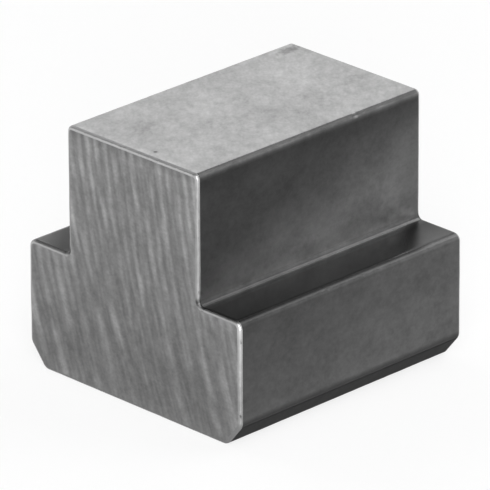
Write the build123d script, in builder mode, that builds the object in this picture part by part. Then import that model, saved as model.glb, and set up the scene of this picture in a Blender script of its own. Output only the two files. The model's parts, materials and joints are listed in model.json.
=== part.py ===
from build123d import *
import os

# A T-slot nut blank: a short length of T-section steel bar, sawn off, with its sharp edges
# broken, and not yet drilled or tapped. The wide flange slides along the undercut of a
# machine table's slot, the neck rises between the slot's lips, and the two shoulders beside
# the neck pull up against the lips when a stud is tightened.
#
# X runs across the slot, Y along it, and Z up from the foot. The origin is at the middle of
# the foot. Every length is in millimetres.

# The T section of the bar.
flange_width = 44.0
flange_height = 20.1
neck_width = 27.0
total_height = 40.5

# The bevel along each lower edge of the flange, which clears the fillets of the slot.
foot_bevel_width = 3.0
foot_bevel_height = 3.7

# The rounded corners that rolling and drawing leave along the bar.
root_radius = 1.0
shoulder_radius = 1.2
neck_edge_radius = 0.7
bevel_edge_radius = 1.4

# What sawing the bar to length leaves.
nut_length = 45.9
saw_edge_break = 0.35

os.makedirs("parts", exist_ok=True)

with BuildPart() as nut_blank:

    # One half of the T section, from the middle of the foot round to the middle of the top,
    # and its mirror image.
    with BuildSketch(Plane.XZ) as bar_section:
        with BuildLine() as bar_outline:
            Polyline(
                (0, 0),
                (flange_width / 2 - foot_bevel_width, 0),
                (flange_width / 2, foot_bevel_height),
                (flange_width / 2, flange_height),
                (neck_width / 2, flange_height),
                (neck_width / 2, total_height),
                (0, total_height),
            )
            mirror(about=Plane.YZ)
        make_face()
    extrude(amount=nut_length / 2, both=True)

    # The long edges, level by level from the foot up: the foot's two, the tops of the bevels,
    # the shoulders with the roots of the neck, and the two along the top.
    long_edges = nut_blank.edges().filter_by(Axis.Y)
    foot_edges, bevel_edges, shoulder_level, neck_edges = long_edges.group_by(Axis.Z)
    inner_to_outer = shoulder_level.sort_by(lambda edge: abs(edge.center().X))
    root_edges = inner_to_outer[:2]
    shoulder_edges = inner_to_outer[2:]
    fillet(foot_edges + bevel_edges, radius=bevel_edge_radius)
    fillet(root_edges, radius=root_radius)
    fillet(shoulder_edges, radius=shoulder_radius)
    fillet(neck_edges, radius=neck_edge_radius)

    # The file's break round both sawn ends, which follows the section through its corners
    # and into the roots of the neck.
    sawn_ends = nut_blank.faces().filter_by(Axis.Y)
    chamfer(sawn_ends.edges(), length=saw_edge_break)

nut_blank.part.label = "nut_blank"
export_step(nut_blank.part, "parts/nut_blank.step")

print("T-slot nut blank, volume", round(nut_blank.part.volume / 1000, 2), "cm3")
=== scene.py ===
# %% [markdown]
# # A T-slot nut blank in steel
#
# A T-slot nut slides in the undercut slot of a machine table. This one is still a blank: a
# short length of T-section bar, cold drawn to shape, sawn off and deburred, with no hole in
# it yet. It is one solid lump, so the whole lesson is about one mesh and its finishes.
#
# The faces along the bar come smooth out of a die. The sides, ledges, foot and top each get a
# tone of their own, which is painted light and shade: the top is painted light, and the rest
# dark. The two ends keep the arcs of the saw. The edges round both ends are broken with a file,
# and they shine. That makes six finishes.

# %% Load the imported model
import bpy
import bmesh
import json
from math import atan2, cos, degrees, exp, pi, radians, sin, sqrt, tan
from mathutils import Matrix, Vector, noise


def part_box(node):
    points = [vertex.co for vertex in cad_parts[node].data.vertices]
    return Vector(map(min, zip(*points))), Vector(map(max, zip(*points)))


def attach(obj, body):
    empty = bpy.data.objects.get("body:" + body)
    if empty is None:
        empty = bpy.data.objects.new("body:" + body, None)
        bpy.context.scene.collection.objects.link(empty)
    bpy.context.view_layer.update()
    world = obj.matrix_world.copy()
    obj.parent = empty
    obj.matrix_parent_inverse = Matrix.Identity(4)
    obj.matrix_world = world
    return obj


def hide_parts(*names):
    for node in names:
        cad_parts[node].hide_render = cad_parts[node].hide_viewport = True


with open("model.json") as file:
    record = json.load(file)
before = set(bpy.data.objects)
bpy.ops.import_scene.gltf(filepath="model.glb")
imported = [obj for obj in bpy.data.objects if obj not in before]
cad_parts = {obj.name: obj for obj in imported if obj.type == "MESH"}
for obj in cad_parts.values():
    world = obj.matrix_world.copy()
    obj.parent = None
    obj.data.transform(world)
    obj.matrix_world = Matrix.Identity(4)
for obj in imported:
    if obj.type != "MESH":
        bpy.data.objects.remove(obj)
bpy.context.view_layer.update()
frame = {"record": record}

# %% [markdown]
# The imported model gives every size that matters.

MM = 0.001

# %% [markdown]
# The bar's section needs only four sizes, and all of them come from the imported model: its
# box gives the flange's width and the total height, and two of its mounts give the level of
# the shoulders and the sides of the neck. The small radii are a drawn bar's own.

# %% Read the section's sizes
low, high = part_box("nut_blank")
mounts = {mount["name"]: mount["pos_m"] for mount in frame["record"]["mounts"]}
flange_half = high.x
neck_half = mounts["neck_side_right"][0]
shoulder_level = mounts["shoulder_right"][2]
top_level = high.z
bar_half = high.y

foot_bevel_width = 3.0 * MM
foot_bevel_height = 3.7 * MM
foot_radius = 1.4 * MM
shoulder_radius = 1.2 * MM
root_radius = 0.8 * MM
neck_edge_radius = 0.9 * MM
edge_break = 0.55 * MM
print("flange", round(flange_half * 2 / MM, 2), "neck", round(neck_half * 2 / MM, 2),
      "shoulder", round(shoulder_level / MM, 2), "top", round(top_level / MM, 2),
      "length", round(bar_half * 2 / MM, 2))

# %% [markdown]
# ## The T section
#
# On the real bar the section comes out of the die in one pull. It could be made here by
# joining two boxes, but then the roots of the neck would be sharp and the join would show.
# So it starts as one flat face with ten corners at the near end, drawn up the right side
# and down the left.

# %% Draw the outline at the near end
right_corners = [
    (flange_half - foot_bevel_width, low.z),
    (flange_half, low.z + foot_bevel_height),
    (flange_half, shoulder_level),
    (neck_half, shoulder_level),
    (neck_half, top_level),
]
left_corners = [(-x, z) for x, z in reversed(right_corners)]
bar = bmesh.new()
outline = [bar.verts.new((x, -bar_half, z)) for x, z in right_corners + left_corners]
bar.faces.new(outline)
print("outline of", len(outline), "corners")

# %% [markdown]
# Drawing leaves each corner with its own radius. A bevel on a vertex cuts the corner off
# with an arc, and its offset is how far along each edge the arc reaches, so the reach is
# worked out from the radius and from how sharply the outline turns there.

# %% Round the corners of the section
arc_steps = 6


def round_corner(mesh, x, z, radius):
    """Turns the outline's corner at (x, z), and its mirror image, into arcs."""
    for side in (1, -1):
        here = Vector((side * x, -bar_half, z))
        corner = min(mesh.verts, key=lambda vertex: (vertex.co - here).length)
        one, other = [edge.other_vert(corner).co - corner.co for edge in corner.link_edges]
        turn = pi - one.angle(other)
        bmesh.ops.bevel(mesh, geom=[corner], offset=radius * tan(turn / 2),
                        offset_type="OFFSET", affect="VERTICES", segments=arc_steps,
                        profile=0.5, material=-1)


corner_radii = [foot_radius, foot_radius, shoulder_radius, root_radius, neck_edge_radius]
for (x, z), radius in zip(right_corners, corner_radii):
    round_corner(bar, x, z, radius)
print("outline of", len(bar.verts), "points with its corners rounded")

# %% [markdown]
# Pulling that face along the bar makes the block, and the two rims at its ends are then
# broken. A bevel with four steps gives a small round edge, as a few strokes of a file do,
# and it follows the section through its corners and round the roots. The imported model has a
# flat break of 0.35 mm there, and a round one of 0.55 mm cuts nearly as deep.

# %% Pull the section out to the bar's length
grown = bmesh.ops.extrude_face_region(bar, geom=bar.faces[:])
far_end = [part for part in grown["geom"] if isinstance(part, bmesh.types.BMVert)]
bmesh.ops.translate(bar, vec=(0, 2 * bar_half, 0), verts=far_end)
bmesh.ops.recalc_face_normals(bar, faces=bar.faces[:])
print("block with", len(bar.faces), "faces")

# %% Break the edges round both sawn ends
hair = 1e-7


def on_rim(edge):
    """Whether an edge runs round one end of the block, and not along it."""
    one, other = [vertex.co.y for vertex in edge.verts]
    return abs(one - other) < hair and abs(one) > bar_half - hair


rims = [edge for edge in bar.edges if on_rim(edge)]
bmesh.ops.bevel(bar, geom=rims, offset=edge_break, offset_type="OFFSET", affect="EDGES",
                segments=4, profile=0.5, material=-1, clamp_overlap=False)
print(len(rims), "rim edges broken,", len(bar.faces), "faces")

# %% [markdown]
# Each face is given its finish now, while the block is still simple, because every later
# cut passes a face's finish on to the pieces that it makes. Where a face points and how high
# it lies are enough to tell them apart.

# %% Name the finishes face by face
DRAWN, SAWN, FILED, LEDGE, FOOT, TOP = range(6)
all_finishes = (DRAWN, SAWN, FILED, LEDGE, FOOT, TOP)
straight_along = 0.999
straight_up = 0.99
leaning_down = -0.4
for face in bar.faces:
    middle = face.calc_center_median()
    if abs(face.normal.y) > straight_along:
        face.material_index = SAWN
    elif abs(middle.y) > bar_half - edge_break:
        face.material_index = FILED
    elif face.normal.z > straight_up and middle.z > top_level - 0.1 * MM:
        face.material_index = TOP
    elif face.normal.z > straight_up:
        face.material_index = LEDGE
    elif face.normal.z < leaning_down:
        face.material_index = FOOT
    else:
        face.material_index = DRAWN
    face.smooth = True


def count_finishes(mesh):
    """How many faces each finish has, in the order of the list above."""
    return [sum(face.material_index == finish for face in mesh.faces) for finish in all_finishes]


print("drawn, sawn, filed, ledge, foot and top faces:", count_finishes(bar))

# %% [markdown]
# ## Cutting the block into small cells
#
# The saw's arcs, the dents along the edges and the slight waviness of a drawn face are all
# shapes, so the mesh needs points to carry them. Flat planes slice it: level ones through
# everything, upright ones through the drawn faces, and then the long strips are divided
# along the bar. The ends get much finer cells, cut by planes that lean as the saw lines do.
# Each row of planes starts off the pitch, so that none lies in a face of the block.

# %% Slice with planes
def slice_cells(mesh, finishes, direction, first, last, pitch):
    """Cuts the faces of these finishes with parallel planes, from first to last."""
    direction = Vector(direction).normalized()
    faces = [face for face in mesh.faces if face.material_index in finishes]
    cells = faces + list({edge for face in faces for edge in face.edges})
    cells += list({vertex for face in faces for vertex in face.verts})
    place = first
    while place < last:
        cut = bmesh.ops.bisect_plane(mesh, geom=cells, dist=1e-8, plane_co=direction * place,
                                     plane_no=direction)
        cells = cut["geom"]
        place += pitch


slice_cells(bar, all_finishes, (0, 0, 1), low.z + 0.73 * MM, high.z, pitch=0.7 * MM)
slice_cells(bar, (DRAWN, LEDGE, FOOT, TOP), (1, 0, 0), low.x + 0.51 * MM, high.x, pitch=1.0 * MM)
print(len(bar.faces), "faces after the flat cuts")

# %% Divide the long strips along the bar
cuts_along = 130
long_edges = [edge for edge in bar.edges if edge.calc_length() > bar_half]
bmesh.ops.subdivide_edges(bar, edges=long_edges, cuts=cuts_along, use_grid_fill=True)
print(len(long_edges), "long edges divided,", len(bar.faces), "faces")

# %% Slice the ends finely, along the saw's lean
saw_lean = 0.2
reach = (high.x + saw_lean * high.z) / sqrt(1 + saw_lean**2)
slice_cells(bar, (SAWN, FILED), (1, 0, saw_lean), -high.x, reach, pitch=0.21 * MM)
print(len(bar.faces), "faces in all, by finish:", count_finishes(bar))

# %% [markdown]
# ## Relief
#
# A bandsaw's blade bows as it feeds, so its marks are wide arcs, and their depth comes and
# goes. One number tells which arc a point is on: its distance from the arcs' far centre.
# Noise that changes quickly across the arcs and slowly along them gives lines that fade in
# and out as real ones do. Everything moves inwards only, so the block stays its own size.

# %% Number the saw's arcs
arc_radius = 205 * MM
arc_centre_level = 67 * MM
saw_depth = 0.05 * MM
saw_pitch = 1.81 * MM
first_line = {-1: -12.9 * MM, 1: -12.1 * MM}


def arc_number(x, z):
    """The place across the saw's arcs, in metres. It is the same all along one arc."""
    return x + sqrt(arc_radius**2 - (z - arc_centre_level) ** 2) - arc_radius


print("arc through the middle of the foot:", round(arc_number(0, low.z) / MM, 2), "mm")

# %% [markdown]
# Each line across the arcs has a strength of its own, which changes slowly and quickly along
# it, so no two lines look alike. The seed keeps one set of lines apart from another.

# %% Give each line its own strength
slow_change = 9
quick_change = 2.6
faintest_line = 0.08
strongest_line = 1.25
line_sharpness = 1.4


def clamp(value, least, most):
    """The value, kept between the two limits."""
    return min(max(value, least), most)


def one_set_of_lines(turns, up, seed):
    """Lines a whole turn apart, each with its own strength, which comes and goes along it."""
    number = round(turns)
    strength = 0.6 + 0.9 * noise.noise(Vector((number * 3.7 + seed, up / slow_change, seed)))
    strength += 0.7 * noise.noise(Vector((number * 5.3 + seed, up / quick_change, seed + 3)))
    crest = (1 + cos(2 * pi * (turns - number))) / 2
    return clamp(strength, faintest_line, strongest_line) * crest**line_sharpness


print("strength of one line every 10 mm up:",
      [round(one_set_of_lines(0, up, 1.3), 2) for up in (0, 10, 20, 30, 40)])

# %% [markdown]
# Two sets lie over each other: fine lines that grow clear towards the top, where the cut
# ran fast, and lines twice as wide low down. Both wander a little from side to side, and a
# grain of short streaks fills the spaces.

# %% Put the saw's lines together
line_wander = 0.18
line_waver = 0.12
fine_share = 0.75
wide_share = 0.8
streak_share = 0.4
even_share = 0.1
line_limit = 1.3


def saw_lines(x, z, end, shift=0.0):
    """The saw's lines at one end of the bar, from 0 in a furrow to about 1 on a line."""
    across = (arc_number(x, z) - first_line[end]) / saw_pitch
    up = z / MM
    turns = across + shift + line_wander * noise.noise(Vector((across / 6, up / 15, 4.1 * end)))
    turns += line_waver * noise.noise(Vector((across / 0.9, up / 1.6, 2.3 * end)))
    fine = one_set_of_lines(turns, up, 1.3 * end) * clamp((up - 6) / 14, 0.2, 1)
    wide = one_set_of_lines((turns - 1) / 2, up, 8.6 * end) * clamp((23 - up) / 12, 0.1, 1)
    streaks = noise.noise(Vector((across / 0.3, up / 4, 7.7 * end)))
    lines_here = fine_share * fine + wide_share * wide + streak_share * streaks + even_share
    return clamp(lines_here, 0, line_limit)


print("saw lines across the near end:",
      [round(saw_lines(x * MM, 15 * MM, -1), 2) for x in (-8, -4, 0, 4, 8)])

# %% [markdown]
# A drawn face is flat to a few hundredths, but not a mirror: it rolls a little. The corners
# along the bar take knocks in handling, and a few of those left dents that can be seen. Each
# dent has a place, a size and a depth, and the last one is the small pit in the top.

# %% Describe the wear and the dents
face_roll = 0.012 * MM
roll_length = 9 * MM
corner_wear = 0.05 * MM
rim_wear = 0.05 * MM
pit_place = (3.0 * MM, -21.0 * MM, top_level)
dents = [
    (Vector((neck_half, 9.6 * MM, top_level)), 0.9 * MM, 0.16 * MM),
    (Vector((neck_half, 11.2 * MM, top_level)), 0.6 * MM, 0.10 * MM),
    (Vector((neck_half, 15.0 * MM, top_level)), 0.7 * MM, 0.09 * MM),
    (Vector((flange_half, -4.6 * MM, shoulder_level)), 0.8 * MM, 0.13 * MM),
    (Vector((flange_half, 2.5 * MM, shoulder_level)), 0.7 * MM, 0.11 * MM),
    (Vector((-neck_half, -7.5 * MM, top_level)), 0.8 * MM, 0.12 * MM),
    (Vector((-flange_half, 12.0 * MM, shoulder_level)), 0.9 * MM, 0.12 * MM),
    (Vector(pit_place), 0.35 * MM, 0.16 * MM),
]


def roll_here(place):
    """The drawn faces' slow roll, from 0 to 1."""
    return 0.5 + 0.5 * noise.noise(place / roll_length)


def wear_here(place):
    """How worn a corner is, from 0 to 1, in patches along the bar."""
    patch = 0.5 + 0.5 * noise.noise(Vector((place.x / 4, place.y / 2.2, place.z / 4)) / MM)
    grit = 0.5 + 0.5 * noise.noise(Vector((place.x / 2, place.y / 0.7, place.z / 2)) / MM)
    return patch * (0.4 + 0.6 * grit)


print(len(dents), "dents, the deepest", round(max(depth for _, _, depth in dents) / MM, 2), "mm")

# %% [markdown]
# ## Tone that changes from place to place, much of it painted light and shade
#
# The finishes need to know where they are: near a corner, in a root, or at an end. A shader
# could work that out, but the block's rounded corners make it long-winded. Here each point of
# the mesh gets a few numbers instead, and the finishes read them as attributes. Most of them
# follow a line drawn through a few marks.

# %% Draw a line through marks
def between(value, marks):
    """The height, over this value, of a line drawn through the marks. Its ends run on level."""
    for (start, first_height), (stop, next_height) in zip(marks, marks[1:]):
        if value <= stop:
            share = clamp((value - start) / (stop - start), 0, 1)
            return first_height + (next_height - first_height) * share
    return marks[-1][1]


print("halfway between 1 and 3:", between(0.5, [(0, 1), (1, 3)]))

# %% [markdown]
# A sawn end is made lighter along its outline, and a painted highlight is added at the right
# upper corner of the neck. So the first number is how near a point is to the outline of the T,
# with that corner's painted highlight added.

# %% The lightening along the outline, with a painted highlight
# Lighter along the outline, with a painted highlight at one corner.
outline_lift_reach = 3.5 * MM
neck_corner_highlight = 1.6
neck_corner_highlight_length = 1.3


def from_outline(x, z):
    """How far inside the T section a place is from its nearest side."""
    across = abs(x)
    if across < neck_half:
        inside = min(top_level - z, z - low.z)
        beside = neck_half - across if z > shoulder_level else flange_half - across
        return min(inside, beside)
    return min(shoulder_level - z, z - low.z, flange_half - across)


def outline_lift_at(place):
    """How much lighter an end is made: 0 in its middle, 1 at the outline, more at one corner, where it
    is a painted highlight.
    """
    lift_here = clamp(1 - from_outline(place.x, place.z) / outline_lift_reach, 0, 1) ** 1.5
    to_corner = sqrt((abs(place.x) - neck_half) ** 2 + (place.z - top_level) ** 2) / MM
    return lift_here + (neck_corner_highlight * exp(-to_corner / neck_corner_highlight_length) if place.x > 0 else 0)


print("rub at the right upper corner:", round(outline_lift_at(Vector((neck_half, 0, top_level))), 2))

# %% [markdown]
# The filed edges carry painted highlights and painted shade. On the upright edges the painted
# highlight is brightest at the top and less down the edge, and hardly any in the root, which is
# painted dark as painted shade. Along the upper edges the painted light and shade depend on how
# far round the break a point lies: each row of marks gives it from the sawn end's side, at 0
# degrees, round to the long face's, at 90.

# %% The filed edges' painted highlights
# Painted light and shade of the filed edges: across the breaks, at the corners and in the root.
lip_light_marks = [(0, 0.66), (22.5, 0.88), (45, 0.46), (67.5, 0.39), (90, 0.7)]
ledge_lip_light_marks = [(0, 0.5), (22.5, 0.7), (45, 0.3), (67.5, 0.08), (90, 0.1)]
root_shade_marks = [(0.6, 0.18), (2.0, 1.0)]
filed_corner_highlight = 0.55
filed_corner_highlight_length = 1.2
neck_edge_light = 0.62
flange_edge_light = 0.85
edge_light_lost_per_mm = 0.02
foot_edge_light = 0.36


def height_above_root(place):
    """Where a place is in the root's height: 0 in its middle, and 1 at its top."""
    return (place.z - shoulder_level - 0.5 * root_radius) / (0.55 * root_radius)


def painted_edge_light(place, normal):
    """How bright an edge is painted: a painted highlight, most at each upper corner, less down and
    along.
    """
    on_neck = place.z > shoulder_level + 0.5 * MM
    below = ((top_level if on_neck else shoulder_level) - place.z) / MM
    highlight_here = filed_corner_highlight * exp(-abs(below) / filed_corner_highlight_length)
    fading = neck_edge_light + highlight_here if on_neck else flange_edge_light + highlight_here - edge_light_lost_per_mm * below
    turn = degrees(atan2(sqrt(normal.x**2 + normal.z**2), abs(normal.y)))
    lip = between(turn, lip_light_marks if on_neck else ledge_lip_light_marks) if normal.z > 0 else foot_edge_light
    upright = abs(normal.x) / max(abs(normal.x) + abs(normal.z), 1e-6)
    edge_light = upright * fading + (1 - upright) * lip
    if abs(place.x) < neck_half + root_radius * 1.4:
        edge_light *= between(abs(height_above_root(place)), root_shade_marks)
    return edge_light


print("gloss at the top of the neck's edge:",
      round(painted_edge_light(Vector((neck_half, -bar_half, top_level)), Vector((1, 0, 0))), 2))

# %% [markdown]
# The long corners show as bright and dark lines, because each tilt of a rounded corner
# mirrors another part of the room. Here those lines are painted highlights and painted
# reflections. Three rows of marks give the change in tone over the tilt, from 0 degrees on the
# upright side to 90 on the level face: for the neck's upper corner, which is the crest, for its
# root and for the shoulder. The side of the neck also gets a painted sheen just above the root,
# and all of this fades towards the far end. The lengths here are in millimetres.

# %% The painted light on the rounded corners
# Painted highlights and reflections over each rounded corner's tilt, and a painted sheen above the root.
crest_highlight_marks = [(0, 0.1), (15, 1.9), (30, 2.4), (45, -0.05), (60, -0.28), (75, 0.7), (90, 0.3)]
root_highlight_marks = [(0, 2.3), (15, 0.7), (30, 0.38), (45, -0.05), (60, 0.35), (75, 1.7), (90, 2.1)]
shoulder_highlight_marks = [(0, 0.05), (15, 0.05), (30, 0.55), (45, 0.12), (60, -0.62), (75, -0.68), (90, 0)]
steep_tilt = 37
just_past = 1.01
root_sheen = 2.4
root_sheen_start = 1.6
root_sheen_length = 2.2
sheen_stop_marks = [(1.2, 22.0), (3.0, 19.5)]
sheen_along_marks = [(-22, 0.7), (-10, 1.1)]
sheen_fade = 4
shoulder_shade_end = 17
shoulder_shade_fade = 3


def sheen_end_fade(height, along):
    """How much of the shine above the root is left, this many mm up and along the bar."""
    stop = between(height, sheen_stop_marks)
    return clamp((stop - along) / sheen_fade, 0, 1) * between(along, sheen_along_marks)


def painted_corner_light(place, normal):
    """How much painted highlights and reflections make the rounded corners, and the neck above the root,
    lighter or darker than the flats.
    """
    tilt = degrees(atan2(normal.z, abs(normal.x)))
    height = (place.z - shoulder_level) / MM
    along = place.y / MM
    if place.z > top_level - neck_edge_radius * just_past:
        return 1 + between(tilt, crest_highlight_marks) * (0.7 + 0.6 * wear_here(place))
    fade = sheen_end_fade(height, along)
    if height > root_radius / MM:
        return 1 + root_sheen * exp(-(height - root_sheen_start) / root_sheen_length) * fade
    if height > -0.01 and abs(place.x) < neck_half + root_radius * just_past:
        return 1 + between(tilt, root_highlight_marks) * (fade if tilt < steep_tilt else 1)
    if height > -shoulder_radius / MM * just_past:
        change = between(tilt, shoulder_highlight_marks)
        shade_left = clamp((shoulder_shade_end - along) / shoulder_shade_fade, 0, 1)
        return 1 + change * (shade_left if change < 0 else 1)
    return 1.0


print("skin gain 3 mm above the root:",
      round(painted_corner_light(Vector((neck_half, 0, shoulder_level + 3 * MM)), Vector((1, 0, 0))), 2))

# %% [markdown]
# ## Pressing it all in
#
# The mesh gets more points near each dent, and many more round the small pit in the top.

# %% Refine the mesh round the dents
def refine_near(mesh, centre, distance, cuts):
    """Divides every edge that starts or ends within this distance of the place."""
    near = {vertex for vertex in mesh.verts if (vertex.co - centre).length < distance}
    edges = list({edge for vertex in near for edge in vertex.link_edges})
    bmesh.ops.subdivide_edges(mesh, edges=edges, cuts=cuts, use_grid_fill=True)


small_dent = 0.5 * MM
for centre, size, _ in dents:
    refine_near(bar, centre, size, cuts=2)
    if size < small_dent:
        refine_near(bar, centre, size, cuts=4)
print(len(bar.faces), "faces with the places of the dents refined")

# %% [markdown]
# Every point's move is worked out before any point is moved, so that all of them are measured
# on the same clean block. Points on an end move along the bar by the saw's depth, fading out
# across the broken edge. Points on a rounded corner, which is where the normal leans away from
# every main direction, move by the wear. The rest only roll, and a dent is added to each.

# %% Work out how far each point moves
deepest_furrow = 1.2
furrow_shift = 0.25
level_normal = 0.995
lean_for_full_wear = 0.1


def dent_depth_at(place):
    """How far all the dents together press this place in."""
    pressed = 0
    for centre, size, depth in dents:
        distance = (place - centre).length / size
        if distance < 1:
            pressed += depth * (1 - distance**2) ** 2
    return pressed


def move_of(place, normal, end, cap_share):
    """The way that sawing, wear and knocks move a point of the block."""
    from_end = bar_half - abs(place.y)
    furrow = max(deepest_furrow - saw_lines(place.x, place.z, end, shift=furrow_shift), 0)
    move = Vector((0, -end * saw_depth * furrow * cap_share, 0))
    flatness = max(abs(normal.x), abs(normal.z))
    if from_end > edge_break * 0.99 and flatness < level_normal:
        wear_share = min((1 - flatness) / lean_for_full_wear, 1)
        move -= normal * corner_wear * wear_here(place) * wear_share
    elif 1e-6 < from_end < edge_break * 0.99:
        move -= normal * rim_wear * wear_here(place)
    if cap_share == 0:
        move -= normal * face_roll * roll_here(place)
    return move - normal * dent_depth_at(place)


print("depth of the pit:", round(dent_depth_at(Vector(pit_place)) / MM, 2), "mm")

# %% Press the relief into the mesh and write the attributes
bar.normal_update()
line_mark = bar.verts.layers.float.new("saw_line")
# The next three numbers carry a lightening along the outline with a painted highlight at one corner, the
# filed edges' painted highlights and shade, and the rounded corners' painted highlights and reflections.
outline_lift_mark = bar.verts.layers.float.new("outline_lift")
edge_light_mark = bar.verts.layers.float.new("painted_edge_light")
corner_light_mark = bar.verts.layers.float.new("painted_corner_light")
plain_line = 0.5
moves = {}
for vertex in bar.verts:
    place = vertex.co.copy()
    normal = vertex.normal.copy()
    end = 1 if place.y > 0 else -1
    cap_share = clamp(1 - (bar_half - abs(place.y)) / edge_break, 0, 1)
    vertex[line_mark] = saw_lines(place.x, place.z, end) if cap_share > 0 else plain_line
    vertex[outline_lift_mark] = outline_lift_at(place)
    vertex[edge_light_mark] = painted_edge_light(place, normal)
    vertex[corner_light_mark] = painted_corner_light(place, normal)
    moves[vertex] = move_of(place, normal, end, cap_share)
for vertex, move in moves.items():
    vertex.co += move
print("deepest move", round(max(move.length for move in moves.values()) / MM, 3), "mm")

# %% [markdown]
# The slicing leaves a few faces with five sides or more, which are cut into triangles here so
# that every program that opens the mesh cuts them the same way.

# %% Make the mesh an object
many_sided = [face for face in bar.faces if len(face.verts) > 4]
bmesh.ops.triangulate(bar, faces=many_sided)
bmesh.ops.recalc_face_normals(bar, faces=bar.faces[:])
open_edges = sum(not edge.is_manifold for edge in bar.edges)
block_mesh = bpy.data.meshes.new("steel_block")
bar.to_mesh(block_mesh)
bar.free()
block = bpy.data.objects.new("steel_block", block_mesh)
bpy.context.scene.collection.objects.link(block)
block_mesh.calc_loop_triangles()
print("open edges", open_edges, "triangles", len(block_mesh.loop_triangles))

# %% [markdown]
# Shading is smooth everywhere, so beside a small rounded corner a wide flat cell would be
# shaded as if it curved. Weighted normals let the widest face decide, and the flats stay
# flat right up to their corners.

# %% Keep the flats flat
flats = block.modifiers.new("flats", "WEIGHTED_NORMAL")
flats.mode = "FACE_AREA"
flats.weight = 50
flats.keep_sharp = False
print("normals weighted by", flats.mode)

# %% [markdown]
# ## Finishes
#
# All six finishes are one steel, so they share the same fine detail with other strengths.
# Each shared effect is a node group. One helper adds a node and fills in its sockets, and a
# few short ones on top of it say what most nodes here are for.

# %% A helper for nodes
def node(tree, kind, inputs=None, **settings):
    """Adds a node. An input is linked if it is given an output, and otherwise written."""
    made = tree.nodes.new(kind)
    for name, value in settings.items():
        setattr(made, name, value)
    for socket, value in (inputs or {}).items():
        if isinstance(value, bpy.types.NodeSocket):
            tree.links.new(value, made.inputs[socket])
        else:
            made.inputs[socket].default_value = value
    return made


def math_node(tree, operation, first, second=0.0, limited=False):
    """One sum on one or two values, and its result."""
    return node(tree, "ShaderNodeMath", {0: first, 1: second}, operation=operation,
                use_clamp=limited).outputs[0]


def multiply(tree, first, *others):
    """The product of all the values."""
    for other in others:
        first = math_node(tree, "MULTIPLY", first, other)
    return first


# %% Helpers for values that change from place to place
def ramp(tree, value, start, stop, first, last, kind="LINEAR"):
    """Runs from first to last as the value runs from start to stop, and is level beyond."""
    return node(tree, "ShaderNodeMapRange",
                {"Value": value, "From Min": start, "From Max": stop,
                 "To Min": first, "To Max": last}, interpolation_type=kind).outputs[0]


def spread(tree, tone, middle, swing):
    """A value round middle: a tone of 0 gives middle - swing, and 1 gives middle + swing."""
    return node(tree, "ShaderNodeMapRange",
                {"Value": tone, "From Min": 0.0, "From Max": 1.0,
                 "To Min": middle - swing, "To Max": middle + swing}, clamp=False).outputs[0]


def choose(tree, share, without, within):
    """One value where the share is 0, another where it is 1, and a blend between."""
    return node(tree, "ShaderNodeMix", {0: share, 2: without, 3: within}, data_type="FLOAT").outputs[0]


def place_on_block(tree):
    """Where a point is on the block, in metres."""
    return node(tree, "ShaderNodeTexCoord").outputs["Object"]


def split(tree, where):
    """A place's X, Y and Z, each on its own."""
    return node(tree, "ShaderNodeSeparateXYZ", {0: where}).outputs


def distance_to(tree, where, spot):
    """How far a place is from a spot."""
    return node(tree, "ShaderNodeVectorMath", {0: where, 1: spot}, operation="DISTANCE").outputs["Value"]


def written_on_mesh(tree, name):
    """One of the numbers that the mesh's points carry."""
    return node(tree, "ShaderNodeAttribute", attribute_name=name).outputs["Fac"]


# %% Helpers for node groups
def new_group(name, inputs, outputs):
    """A shader node group with number inputs, given with their defaults, and outputs."""
    tree = bpy.data.node_groups.new(name, "ShaderNodeTree")
    for label, default in inputs.items():
        socket = tree.interface.new_socket(label, in_out="INPUT", socket_type="NodeSocketFloat")
        socket.default_value = default
    for label in outputs:
        tree.interface.new_socket(label, in_out="OUTPUT", socket_type="NodeSocketFloat")
    return tree, tree.nodes.new("NodeGroupInput"), tree.nodes.new("NodeGroupOutput")


def place_group(tree, group, **values):
    """One use of a group in a material, with this finish's own values."""
    used = node(tree, "ShaderNodeGroup", node_tree=group)
    for label, value in values.items():
        used.inputs[label].default_value = value
    return used


# %% [markdown]
# ### Mottle
#
# Bare steel is never one even grey. Scale, handling and a thin film of oil leave a soft
# cloudiness, with a finer peppering over it. Three layers of noise at three sizes are
# enough, and the group mixes them into one tone round a half. Wiping goes across the bar at
# a slant, so the noise is turned by 45 degrees and drawn out a little.

# %% Group: mottle
wiping_turn = (0, 0, radians(-45))
wiping_stretch = (1.0, 0.6, 1.0)
mottle_defaults = {"Cloud": 0.5, "Blotch": 0.5, "Speck": 0.5}
mottle, mottle_in, mottle_out = new_group("steel mottle", mottle_defaults, ["Tone"])
where = place_on_block(mottle)
rubbed_way = node(mottle, "ShaderNodeMapping", {"Vector": where, "Rotation": wiping_turn}).outputs[0]
drawn_out = node(mottle, "ShaderNodeMapping",
                 {"Vector": rubbed_way, "Scale": wiping_stretch}).outputs[0]
mottle_sum = 0.5
for layer, size in (("Cloud", 5.5 * MM), ("Blotch", 1.0 * MM), ("Speck", 0.35 * MM)):
    grain = node(mottle, "ShaderNodeTexNoise",
                 {"Vector": drawn_out, "Scale": 1 / size, "Detail": 1.5, "Roughness": 0.55})
    round_zero = math_node(mottle, "SUBTRACT", grain.outputs["Fac"], 0.5)
    mottle_sum = math_node(mottle, "ADD", multiply(mottle, round_zero, mottle_in.outputs[layer]),
                           mottle_sum)
mottle.links.new(mottle_sum, mottle_out.inputs["Tone"])
print("group", mottle.name, "with", len(mottle.nodes), "nodes")

# %% [markdown]
# ### Draw lines
#
# The die leaves very fine lines along the bar. Noise squeezed across the bar and stretched
# along it gives them, and they are far too shallow to model, so they are a bump.

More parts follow.
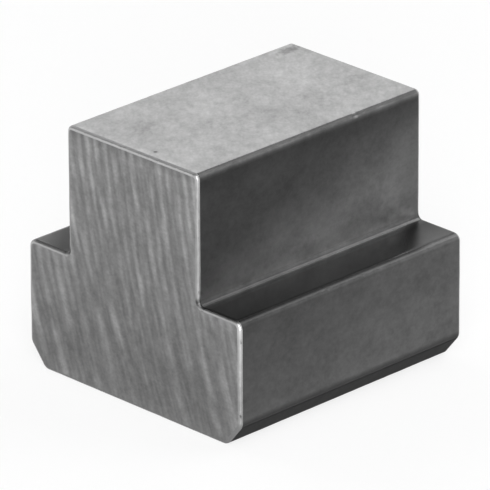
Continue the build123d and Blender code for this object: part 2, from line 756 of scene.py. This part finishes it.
# %% Group: draw lines
lines, lines_in, lines_out = new_group("draw lines", {"Spacing": 0.25 * MM}, ["Height"])
where = place_on_block(lines)
stretched = node(lines, "ShaderNodeMapping", {"Vector": where, "Scale": (1.0, 0.03, 1.0)})
per_metre = math_node(lines, "DIVIDE", 1.0, lines_in.outputs["Spacing"])
grain = node(lines, "ShaderNodeTexNoise",
             {"Vector": stretched.outputs[0], "Scale": per_metre, "Detail": 4.0, "Roughness": 0.6})
lines.links.new(grain.outputs["Fac"], lines_out.inputs["Height"])
print("group", lines.name, "with", len(lines.nodes), "nodes")

# %% [markdown]
# ### Saw lines
#
# The deepest saw marks are in the mesh. Between them lie finer ones, and a worn tooth
# leaves a brighter or a duller line. The group works out the same arc number as the mesh
# did and runs noise along it. The far end gets other lines, because the place along the
# bar is part of the pattern.

# %% Group: saw lines
saw, saw_in, saw_out = new_group("saw lines", {"Spacing": 0.5 * MM}, ["Tone", "Height"])
axes = split(saw, place_on_block(saw))
drop = math_node(saw, "SUBTRACT", axes["Z"], arc_centre_level)
bow = math_node(saw, "SQRT", math_node(saw, "SUBTRACT", arc_radius**2, multiply(saw, drop, drop)))
across = math_node(saw, "ADD", axes["X"], bow)
along = multiply(saw, axes["Z"], 0.05)
arcs = node(saw, "ShaderNodeCombineXYZ", {0: across, 1: axes["Y"], 2: along}).outputs[0]
per_metre = math_node(saw, "DIVIDE", 1.0, saw_in.outputs["Spacing"])
fine_arcs = node(saw, "ShaderNodeTexNoise",
                 {"Vector": arcs, "Scale": per_metre, "Detail": 2.0, "Roughness": 0.6})
wide_arcs = node(saw, "ShaderNodeTexNoise",
                 {"Vector": arcs, "Scale": 1 / (1.7 * MM), "Detail": 1.0, "Roughness": 0.5})
saw.links.new(fine_arcs.outputs["Fac"], saw_out.inputs["Height"])
both = math_node(saw, "ADD", fine_arcs.outputs["Fac"], wide_arcs.outputs["Fac"])
saw.links.new(multiply(saw, both, 0.5), saw_out.inputs["Tone"])
print("group", saw.name, "with", len(saw.nodes), "nodes")

# %% [markdown]
# ### The skin of the long faces
#
# Each finish is a metal whose tone and roughness wander about a middle value. A group gives
# a tone round a half, and the finish spreads it over the range that it needs. The four long
# faces' finishes differ in roughness and in a tone that is painted light and shade, so one
# helper makes them all. Each material then changes the tone from place to place, much of it
# with painted light and shade.

# %% Helpers: a steel, and the skin of a long face
skin_roughness_swing = 0.06
draw_line_spacing = 0.3 * MM
draw_line_depth = 0.0015 * MM


def new_steel(name):
    """A metal material, with its node tree and its shader."""
    material = bpy.data.materials.new(name)
    material.use_nodes = True
    shader = material.node_tree.nodes["Principled BSDF"]
    shader.inputs["Metallic"].default_value = 1.0
    return material, material.node_tree, shader


def new_skin(name, tone, swing, cloud, blotch, speck, roughness=None):
    """A long face's material, with the shared mottle and draw lines, and its tone so far."""
    material, tree, shader = new_steel(name)
    cloudy = place_group(tree, mottle, Cloud=cloud, Blotch=blotch, Speck=speck).outputs["Tone"]
    if roughness is not None:
        rough_here = spread(tree, cloudy, roughness, skin_roughness_swing)
        tree.links.new(rough_here, shader.inputs["Roughness"])
    fine = place_group(tree, lines, Spacing=draw_line_spacing).outputs["Height"]
    bump = node(tree, "ShaderNodeBump",
                {"Height": fine, "Strength": 1.0, "Distance": draw_line_depth})
    tree.links.new(bump.outputs[0], shader.inputs["Normal"])
    print("material", name)
    return material, tree, shader, spread(tree, cloudy, tone, swing * tone)


# %% [markdown]
# The sides are the darkest and smoothest of the faces that show, and their dark tone is painted
# shade. The right side carries a painted reflection: it is darker above a slanting, soft line and
# lighter below it, with painted shade just under the crest. The mesh's painted corner light adds
# the light and dark lines of the rounded corners as painted highlights and reflections, and the
# roll down to the foot bevels is painted dark, as painted shade.

# %% Material: drawn steel
# The low tone of the sides is painted shade.
drawn, tree, shader, skin_tone = new_skin("drawn_steel", 0.10, 0.42, cloud=0.8, blotch=0.6,
                                          speck=0.35, roughness=0.40)
# The right side's painted reflection: darker above a slanting, soft line and lighter below it.
reflection_slope = (0, -0.35, 0.937)
left_tone = 0.9
where = place_on_block(tree)
axes = split(tree, where)
up_the_reflection = node(tree, "ShaderNodeVectorMath", {0: where, 1: reflection_slope}, operation="DOT_PRODUCT")
reflection_height = up_the_reflection.outputs["Value"]
neck_reflection = ramp(tree, reflection_height, 20 * MM, 34 * MM, 1.22, 0.52, kind="SMOOTHSTEP")
# Painted shade just under the crest.
shade_under_crest = ramp(tree, axes["Z"], 36 * MM, 39 * MM, 1.0, 0.8)
flange_reflection = ramp(tree, reflection_height, 0.0, 26 * MM, 1.22, 0.64)
on_neck = ramp(tree, axes["Z"], shoulder_level + 0.1 * MM, shoulder_level + 0.6 * MM, 0, 1)
side_reflection = choose(tree, on_neck, flange_reflection, multiply(tree, neck_reflection, shade_under_crest))
on_right = ramp(tree, axes["X"], neck_half - 0.3 * MM, neck_half - 0.05 * MM, 0, 1)
painted_reflection_tone = choose(tree, on_right, left_tone, side_reflection)
# Painted shade on the roll down to the foot bevels.
shade_above_bevel = ramp(tree, axes["Z"], 3.8 * MM, 4.7 * MM, 0.22, 1.0)
# Painted highlights and reflections on the rounded corners, from the mesh.
corner_light_gain = written_on_mesh(tree, "painted_corner_light")
drawn_tone = multiply(tree, skin_tone, painted_reflection_tone, multiply(tree, corner_light_gain, shade_above_bevel))
tree.links.new(drawn_tone, shader.inputs["Base Color"])

# %% [markdown]
# The top is the lightest of the long faces, and its light tone is painted light. Near its far
# left corner a dull smudge lies beside a light scuff. Each is a mask on the distance from one
# place, broken up by noise, and the smudge's is squashed so that it comes out long.

# %% Material: the top, painted light, with its smudge and scuff
# The top's light tone is painted light.
top, tree, shader, skin_tone = new_skin("top_steel_painted_light", 0.437, 0.5, cloud=0.6, blotch=0.62,
                                        speck=0.38, roughness=0.38)
smudge_centre = Vector((-11.2 * MM, 20.2 * MM, top_level))
smudge_squash = Vector((1.0, 0.42, 1.0))
scuff_centre = (-11.6 * MM, 18.7 * MM, top_level)
where = place_on_block(tree)
axes = split(tree, where)
squashed = node(tree, "ShaderNodeMapping", {"Vector": where, "Scale": smudge_squash}).outputs[0]
smudge_away = distance_to(tree, squashed, smudge_centre * smudge_squash)
ragged = node(tree, "ShaderNodeTexNoise", {"Vector": where, "Scale": 1 / (0.9 * MM), "Detail": 2.0})
smudge_reach = spread(tree, ragged.outputs["Fac"], 1.0 * MM, 1.0 * MM)
in_smudge = math_node(tree, "SUBTRACT", smudge_reach, smudge_away)
smudge = ramp(tree, in_smudge, -0.1 * MM, 0.4 * MM, 1.0, 0.62)
scuff_reach = spread(tree, ragged.outputs["Fac"], 0.8 * MM, 1.6 * MM)
in_scuff = math_node(tree, "SUBTRACT", scuff_reach, distance_to(tree, where, scuff_centre))
scuff = ramp(tree, in_scuff, 0.0, 0.5 * MM, 1.0, 1.28)
print("smudge and scuff at",
      [[round(c / MM, 1) for c in centre] for centre in (smudge_centre, scuff_centre)], "mm")

# %% [markdown]
# The same face is a little lighter towards its far end and along its front lip, and the pit
# near the front is darker.

# %% Material: the top, lighter towards its far end, and its darker pit
lighter_far_end = ramp(tree, axes["Y"], -bar_half, bar_half, 0.94, 1.03)
front_lip = ramp(tree, axes["Y"], -bar_half + 0.7 * MM, -bar_half + 1.8 * MM, 1.12, 1.0)
pit_darkening = ramp(tree, distance_to(tree, where, pit_place), 0.18 * MM, 0.4 * MM, 0.25, 1.0)
marks = multiply(tree, smudge, scuff)
top_tone = multiply(tree, skin_tone, marks, multiply(tree, lighter_far_end, front_lip), pit_darkening)
tree.links.new(top_tone, shader.inputs["Base Color"])
print("pit at", [round(c / MM, 1) for c in pit_place], "mm")

# %% [markdown]
# The ledges are never rubbed. Their low tone is painted shade, and they are painted darker near
# the root of the neck, as painted shade, and lighter along their outer edge, with one thin
# painted highlight where the root begins. A ledge mirrors the side of the neck, except near its
# far end, where it mirrors the paper: there a painted reflection makes it lighter, it is darker
# again at the very end, and the steel is duller, being rougher. The left ledge carries a painted
# shadow near the front, in a band beside the neck.

# %% Material: ledge steel
# The ledges' low tone is painted shade.
ledge, tree, shader, skin_tone = new_skin("ledge_steel", 0.113, 0.2, cloud=0.7, blotch=0.7, speck=0.4)
axes = split(tree, place_on_block(tree))
from_neck = math_node(tree, "SUBTRACT", math_node(tree, "ABSOLUTE", axes["X"]), neck_half)
# Painted shade near the root of the neck, and a painted highlight where the root begins.
root_shade = ramp(tree, from_neck, 1.4 * MM, 7.0 * MM, 0.27, 1.18)
root_highlight = ramp(tree, from_neck, 0.7 * MM, 2.0 * MM, 3.9, 1.0)
slant = math_node(tree, "ADD", axes["Y"], math_node(tree, "ABSOLUTE", from_neck))
# Near the far end, a painted reflection of the paper, then darker at the very end.
far_end_light = ramp(tree, slant, 13 * MM, 18 * MM, 1.0, 1.38)
far_end_darker = ramp(tree, slant, 18.5 * MM, 21 * MM, 1.0, 0.48)
# A painted shadow on the left ledge, in a band beside the neck.
crossing = math_node(tree, "ADD", axes["X"], axes["Y"])
left_band_shade = ramp(tree, crossing, -42 * MM, -37.5 * MM, 0.85, 0.3)
on_right = ramp(tree, axes["X"], -1 * MM, 1 * MM, 0, 1)
ledge_side_shade = choose(tree, on_right, left_band_shade, 1.0)
ledge_light_and_shade = multiply(tree, root_shade, root_highlight, far_end_light, far_end_darker, ledge_side_shade)
tree.links.new(multiply(tree, skin_tone, ledge_light_and_shade), shader.inputs["Base Color"])
dulling = ramp(tree, slant, 17 * MM, 21.5 * MM, 0.16, 0.34)
tree.links.new(dulling, shader.inputs["Roughness"])

# %% [markdown]
# The foot and its bevels are the darkest, and their very low tone is painted shade. Steel mirrors
# more at a shallow angle, and a darker specular tint holds that back, also as painted shade.

# %% Material: foot steel
# The foot's very low tone and darker specular tint are painted shade.
foot, tree, shader, skin_tone = new_skin("foot_steel", 0.03, 0.4, cloud=0.9, blotch=0.9,
                                         speck=0.5, roughness=0.35)
shader.inputs["Specular Tint"].default_value = (0.45, 0.45, 0.45, 1)
tree.links.new(skin_tone, shader.inputs["Base Color"])

# %% [markdown]
# ### Sawn ends
#
# The sawn ends are lighter and duller, because every tooth has torn a fresh, rough line.
# The lines that the mesh carries set the broad light and dark, and the group adds the fine
# ones. The end is painted lighter towards the top, as painted light, and painted dark just under
# the top's edge, as painted shade.

# %% Material: sawn steel, its lines
sawn, tree, shader = new_steel("sawn_steel")
sawn_tone = 0.217
sawn_roughness = 0.55
tooth_depth = 0.012 * MM
marks = place_group(tree, saw, Spacing=0.45 * MM)
cloudy = place_group(tree, mottle, Cloud=0.6, Blotch=1.0, Speck=0.9).outputs["Tone"]
streaky = multiply(tree, math_node(tree, "ADD", marks.outputs["Tone"], cloudy), 0.5)
fine_tone = spread(tree, streaky, sawn_tone, 0.42 * sawn_tone)
line_gain = spread(tree, written_on_mesh(tree, "saw_line"), 1.0, 0.26)
tree.links.new(spread(tree, marks.outputs["Tone"], sawn_roughness, 0.1), shader.inputs["Roughness"])
bump = node(tree, "ShaderNodeBump",
            {"Height": marks.outputs["Height"], "Strength": 1.0, "Distance": tooth_depth})
tree.links.new(bump.outputs[0], shader.inputs["Normal"])
print("material", sawn.name)

# %% Material: sawn steel, its painted light and shade
axes = split(tree, place_on_block(tree))
# Painted light towards the top of the end, and painted shade just under the top's edge.
painted_light_upwards = ramp(tree, axes["Z"], 8 * MM, top_level, 0.94, 1.36)
shade_under_break = ramp(tree, axes["Z"], top_level - 2.0 * MM, top_level - 0.7 * MM, 1.0, 0.74)
# Lighter along the outline, and a painted highlight at the neck's right upper corner.
outline_lift_gain = spread(tree, written_on_mesh(tree, "outline_lift"), 1.09, 0.09)
end_light_and_shade = multiply(tree, painted_light_upwards, shade_under_break)
end_tone = multiply(tree, fine_tone, line_gain, outline_lift_gain, end_light_and_shade)
tree.links.new(end_tone, shader.inputs["Base Color"])
print("tone of the ends about", sawn_tone)

# %% [markdown]
# ### Filed edges
#
# A file leaves clean metal, so the broken edges are by far the
# brightest. They carry the same mottle, weakly, so that the bright line breaks up, and the
# painted highlights and shade that the mesh carries make each place brighter or darker.

# %% Material: filed edge
filed, tree, shader = new_steel("filed_edge")
filed_tone = 0.5
filed_roughness = 0.45
cloudy = place_group(tree, mottle, Cloud=0.6, Blotch=1.0, Speck=0.8).outputs["Tone"]
file_tone = spread(tree, cloudy, filed_tone, 0.12 * filed_tone)
# Painted highlights and shade along the filed edges, from the mesh.
edge_light = written_on_mesh(tree, "painted_edge_light")
tree.links.new(multiply(tree, file_tone, edge_light), shader.inputs["Base Color"])
tree.links.new(spread(tree, cloudy, filed_roughness, 0.1), shader.inputs["Roughness"])
print("material", filed.name)

# %% [markdown]
# The materials go on in the order in which the faces were numbered. Then the block is tied
# to the model's one body and takes the place of the imported solid.

# %% Put the finishes on the block
for material in (drawn, sawn, filed, ledge, foot, top):
    block_mesh.materials.append(material)
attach(block, "root")
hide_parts("nut_blank")
print("finishes on", block.name, ":", [material.name for material in block_mesh.materials])

# %% [markdown]
# ## The studio
#
# The block stands on a white floor that sweeps up into a wall three metres away, as a
# studio's paper roll does. A profile spun round the upright axis makes floor and wall in
# one piece, with no edge for a reflection to show.

# %% Make the floor and its wall
stage_radius = 3.0
wall_height = 1.8
profile_places = [
    (0.02, 0, 0),
    (0.5, 0, 0),
    (stage_radius - 0.3, 0, 0),
    (stage_radius - 0.09, 0, 0.09),
    (stage_radius, 0, 0.3),
    (stage_radius, 0, wall_height),
]
paper = bmesh.new()
profile = [paper.verts.new(place) for place in profile_places]
edges = [paper.edges.new(pair) for pair in zip(profile, profile[1:])]
bmesh.ops.spin(paper, geom=profile + edges, cent=(0, 0, 0), axis=(0, 0, 1), angle=2 * pi,
               steps=64, use_merge=True)
middle = [edge for edge in paper.edges if all(vertex.co.length < 0.03 for vertex in edge.verts)]
bmesh.ops.contextual_create(paper, geom=middle)
bmesh.ops.recalc_face_normals(paper, faces=paper.faces[:])
if sum(face.normal.z for face in paper.faces) < 0:
    bmesh.ops.reverse_faces(paper, faces=paper.faces[:])
for face in paper.faces:
    face.smooth = True
print("sweep with", len(paper.faces), "faces")

# %% Make the sweep an object
paper_mesh = bpy.data.meshes.new("paper_sweep")
paper.to_mesh(paper_mesh)
paper.free()
sweep = bpy.data.objects.new("paper_sweep", paper_mesh)
bpy.context.scene.collection.objects.link(sweep)
print("stage", sweep.name)

# %% [markdown]
# White paper under even light is what a camera sees as white. Part of that white is plain
# diffuse paper, which keeps the block's soft shadow, and part is a glow that only the
# camera and mirror-like rays see, so that the steel mirrors the same white.

# %% Material: white paper
paper_white = bpy.data.materials.new("white_paper")
paper_white.use_nodes = True
tree = paper_white.node_tree
shader = tree.nodes["Principled BSDF"]
shader.inputs["Base Color"].default_value = (0.9, 0.9, 0.9, 1)
shader.inputs["Roughness"].default_value = 1.0
shader.inputs["Specular IOR Level"].default_value = 0.0
glow_share = 0.8
rays = node(tree, "ShaderNodeLightPath").outputs
seen = math_node(tree, "ADD", rays["Is Camera Ray"], rays["Is Glossy Ray"])
seen = math_node(tree, "ADD", seen, rays["Is Transmission Ray"], limited=True)
glow = node(tree, "ShaderNodeEmission", {"Color": (1, 1, 1, 1), "Strength": 1.0})
mixed = node(tree, "ShaderNodeMixShader",
             {0: multiply(tree, seen, glow_share), 1: shader.outputs[0], 2: glow.outputs[0]})
tree.links.new(mixed.outputs[0], tree.nodes["Material Output"].inputs["Surface"])
paper_mesh.materials.append(paper_white)
print("material", paper_white.name)

# %% [markdown]
# Above the wall the room is dim, so that the rounded corners can mirror something dark
# between the lamps. That contrast is what makes bare metal look like metal.

# %% Set the room
room_strength = 0.05
world = bpy.data.worlds.new("dim_room")
bpy.context.scene.world = world
world.use_nodes = True
background = world.node_tree.nodes["Background"]
background.inputs["Color"].default_value = (1, 1, 1, 1)
background.inputs["Strength"].default_value = room_strength
bpy.context.scene.view_settings.view_transform = "Standard"
print("room at", room_strength)

# %% [markdown]
# ## Camera
#
# The camera stands about a metre off with a long lens, so the bar's edges stay nearly
# parallel. It looks down by 23 degrees, onto the near end and the right side, and it aims a
# little below the block's middle.

# %% Work out which way the camera faces
view_side = radians(45.290)
view_height = radians(23.324)
view_roll = radians(-0.254)
view_distance = 1.03988
lens = 521.24
aim_right = -0.000035
aim_up = -0.0014975

ahead = Vector((-sin(view_side) * cos(view_height), cos(view_side) * cos(view_height),
                -sin(view_height)))
level = Vector((cos(view_side), sin(view_side), 0))
upright = level.cross(ahead)
rightward = level * cos(view_roll) + upright * sin(view_roll)
upward = upright * cos(view_roll) - level * sin(view_roll)
aim = Vector((0, 0, top_level / 2)) + rightward * aim_right + upward * aim_up
print("camera looks along", [round(c, 3) for c in ahead])

# %% Place the camera
camera_data = bpy.data.cameras.new("camera")
camera_data.sensor_width = 36
camera_data.lens = lens
camera_data.clip_start = 0.05
camera_data.clip_end = 50
camera = bpy.data.objects.new("camera", camera_data)
pose = Matrix((rightward, upward, -ahead)).transposed().to_4x4()
pose.translation = aim - ahead * view_distance
camera.matrix_world = pose
bpy.context.scene.collection.objects.link(camera)
bpy.context.scene.camera = camera
print("camera at", [round(c, 3) for c in camera.matrix_world.translation])

# %% [markdown]
# ## Lamps
#
# Big soft discs stand round the block. Each is given by the direction that it shines from:
# an angle round the block, counted from the camera's side towards the right, and a height.
# The three strongest stand on the camera's side, high, low and close to the floor, and light
# the near end and the right side. The three behind give the top its sheen, and the two at the
# sides fill the ledges and the corners.

# %% Hang the lamps
lamp_distance = 1.4
lamp_aim = Vector((0, 0, 0.015))
toward_camera = Vector((sin(view_side), -cos(view_side), 0))


def hang_lamp(name, round_angle, height, power, width):
    """A soft disc that shines on the block from this direction and isn't seen itself."""
    flat = toward_camera * cos(radians(round_angle)) + level * sin(radians(round_angle))
    outward = flat * cos(radians(height)) + Vector((0, 0, 1)) * sin(radians(height))
    data = bpy.data.lights.new(name, "AREA")
    data.shape = "DISK"
    data.size = width
    data.energy = power
    lamp = bpy.data.objects.new(name, data)
    lamp.location = lamp_aim + outward * lamp_distance
    lamp.rotation_euler = (-outward).to_track_quat("-Z", "Y").to_euler()
    lamp.visible_camera = False
    bpy.context.scene.collection.objects.link(lamp)


lamp_list = [
    ("front", 0, 42, 11.9, 0.72),
    ("front_fill", 0, 14, 9.2, 0.50),
    ("low_front", 0, 5, 6.2, 0.30),
    ("back_left", 225, 42, 5.0, 0.72),
    ("right_fill", 100, 52, 4.4, 0.72),
    ("back_right", 135, 42, 3.0, 0.72),
    ("back", 180, 42, 1.5, 0.72),
    ("left_fill", 270, 14, 1.3, 0.50),
]
for name, round_angle, height, power, width in lamp_list:
    hang_lamp(name, round_angle, height, power, width)
print(len(lamp_list), "lamps,", round(sum(row[3] for row in lamp_list), 1), "watts in all")
